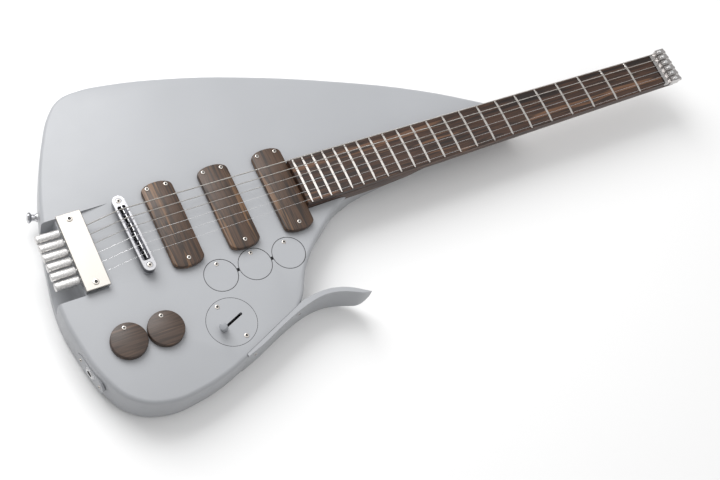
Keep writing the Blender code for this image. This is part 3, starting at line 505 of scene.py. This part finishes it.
# screws of the rear cover, the leg rest's side and the bridge posts, in metres
otherScrews = {
    "cover": (
        (-0.0660, -0.1300), (-0.0660, -0.0840), (0.0785, -0.1300),
        (0.1420, -0.0480), (0.1420, -0.0845), (0.0460, -0.0480),
    ),
    "coverZ": 0.0003, "coverSink": 0.0004,
    "rest": ((0.1197, -0.1292, 0.0270), (0.0626, -0.1534, 0.0270)),
    "restOut": Vector((0.02, -0.04, 0)),         # toward the wall's outer side
    "restScale": 0.8, "restSink": 0.0001,
    "posts": {"bass": (-0.0042, 0.0367), "treble": (-0.0012, -0.0373)},
    "postScale": 1.1, "postSink": 0.0004,
}


def addOtherScrews():
    for k, (x, y) in enumerate(otherScrews["cover"], 1):
        addScrew(f"cover_screw_{k}", (x, y, otherScrews["coverZ"]), (0, 0, -1), sink=otherScrews["coverSink"])
    for k, point in enumerate(otherScrews["rest"], 1):
        beside = Vector(point) + otherScrews["restOut"]
        _, at, normal, _ = nodes["leg_rest"].closest_point_on_mesh(beside)
        side = Vector((normal.x, normal.y, 0)).normalized()
        place = (at.x, at.y, point[2])
        addScrew(f"rest_screw_{k}", place, side, otherScrews["restScale"], sink=otherScrews["restSink"])
    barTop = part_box("bridge_base")[1][2]
    for side, (x, y) in otherScrews["posts"].items():
        place = (x, y, barTop - otherScrews["postSink"])
        addScrew(f"post_screw_{side}", place, scale=otherScrews["postScale"])


addTopScrews()
addJackRing()
addGapShades()
addOtherScrews()
bpy.data.objects.remove(screwMaster, do_unlink=True)
print("screws, nut and seams placed")


# as fitted to the fret lines: the place in metres and the camera's own axes
camera = {
    "place": (-0.3260, -0.4999, 1.2225),
    "right": (0.8696, -0.4283, 0.2456),
    "up": (0.2944, 0.8492, 0.4384),
    "back": (-0.3964, -0.3090, 0.8645),
    "lens": 66.47, "sensor": 36.0, "clipStart": 0.01,
}


def addCamera():
    data = bpy.data.cameras.new("camera")
    data.lens = camera["lens"]
    data.sensor_width = camera["sensor"]
    data.clip_start = camera["clipStart"]
    obj = bpy.data.objects.new("camera", data)
    bpy.context.scene.collection.objects.link(obj)
    turn = Matrix((camera["right"], camera["up"], camera["back"])).transposed().to_4x4()
    obj.matrix_world = Matrix.Translation(camera["place"]) @ turn
    bpy.context.scene.camera = obj


floorSettings = {"size": 12, "place": (0.25, 0, -0.0002), "colour": (0.86, 0.86, 0.86, 1), "rough": 0.75}


def addFloor():
    clearSelection()
    bpy.ops.mesh.primitive_plane_add(size=floorSettings["size"], location=floorSettings["place"])
    floor = bpy.context.active_object
    floor.name = "floor"
    white, _, shader = newMaterial("floorWhite")
    shader.inputs["Base Color"].default_value = floorSettings["colour"]
    shader.inputs["Roughness"].default_value = floorSettings["rough"]
    floor.data.materials.append(white)


# three soft lamps aimed at the body, and an even white room
lamps = {
    "key": {"place": (-0.15, 1.2, 1.3), "size": 1.3, "power": 30},
    "fill": {"place": (1.3, -1.2, 1.5), "size": 1.8, "power": 3},
    "top": {"place": (0.2, 0.2, 2.2), "size": 2.2, "power": 14},
}
room = {"aim": (0.2, 0.0, 0.0), "colour": (1, 1, 1, 1), "strength": 0.50}


def addLamps():
    for name, lamp in lamps.items():
        data = bpy.data.lights.new(name, "AREA")
        data.energy = lamp["power"]
        data.size = lamp["size"]
        obj = bpy.data.objects.new(name, data)
        bpy.context.scene.collection.objects.link(obj)
        obj.location = lamp["place"]
        aim = Vector(room["aim"]) - Vector(lamp["place"])
        obj.rotation_euler = aim.to_track_quat("-Z", "Y").to_euler()
    world = bpy.data.worlds.new("studio")
    world.use_nodes = True
    bpy.context.scene.world = world
    back = world.node_tree.nodes["Background"]
    back.inputs["Color"].default_value = room["colour"]
    back.inputs["Strength"].default_value = room["strength"]


addCamera()
addFloor()
addLamps()
bpy.context.scene.view_settings.view_transform = "Standard"
print("camera, floor and lamps set")
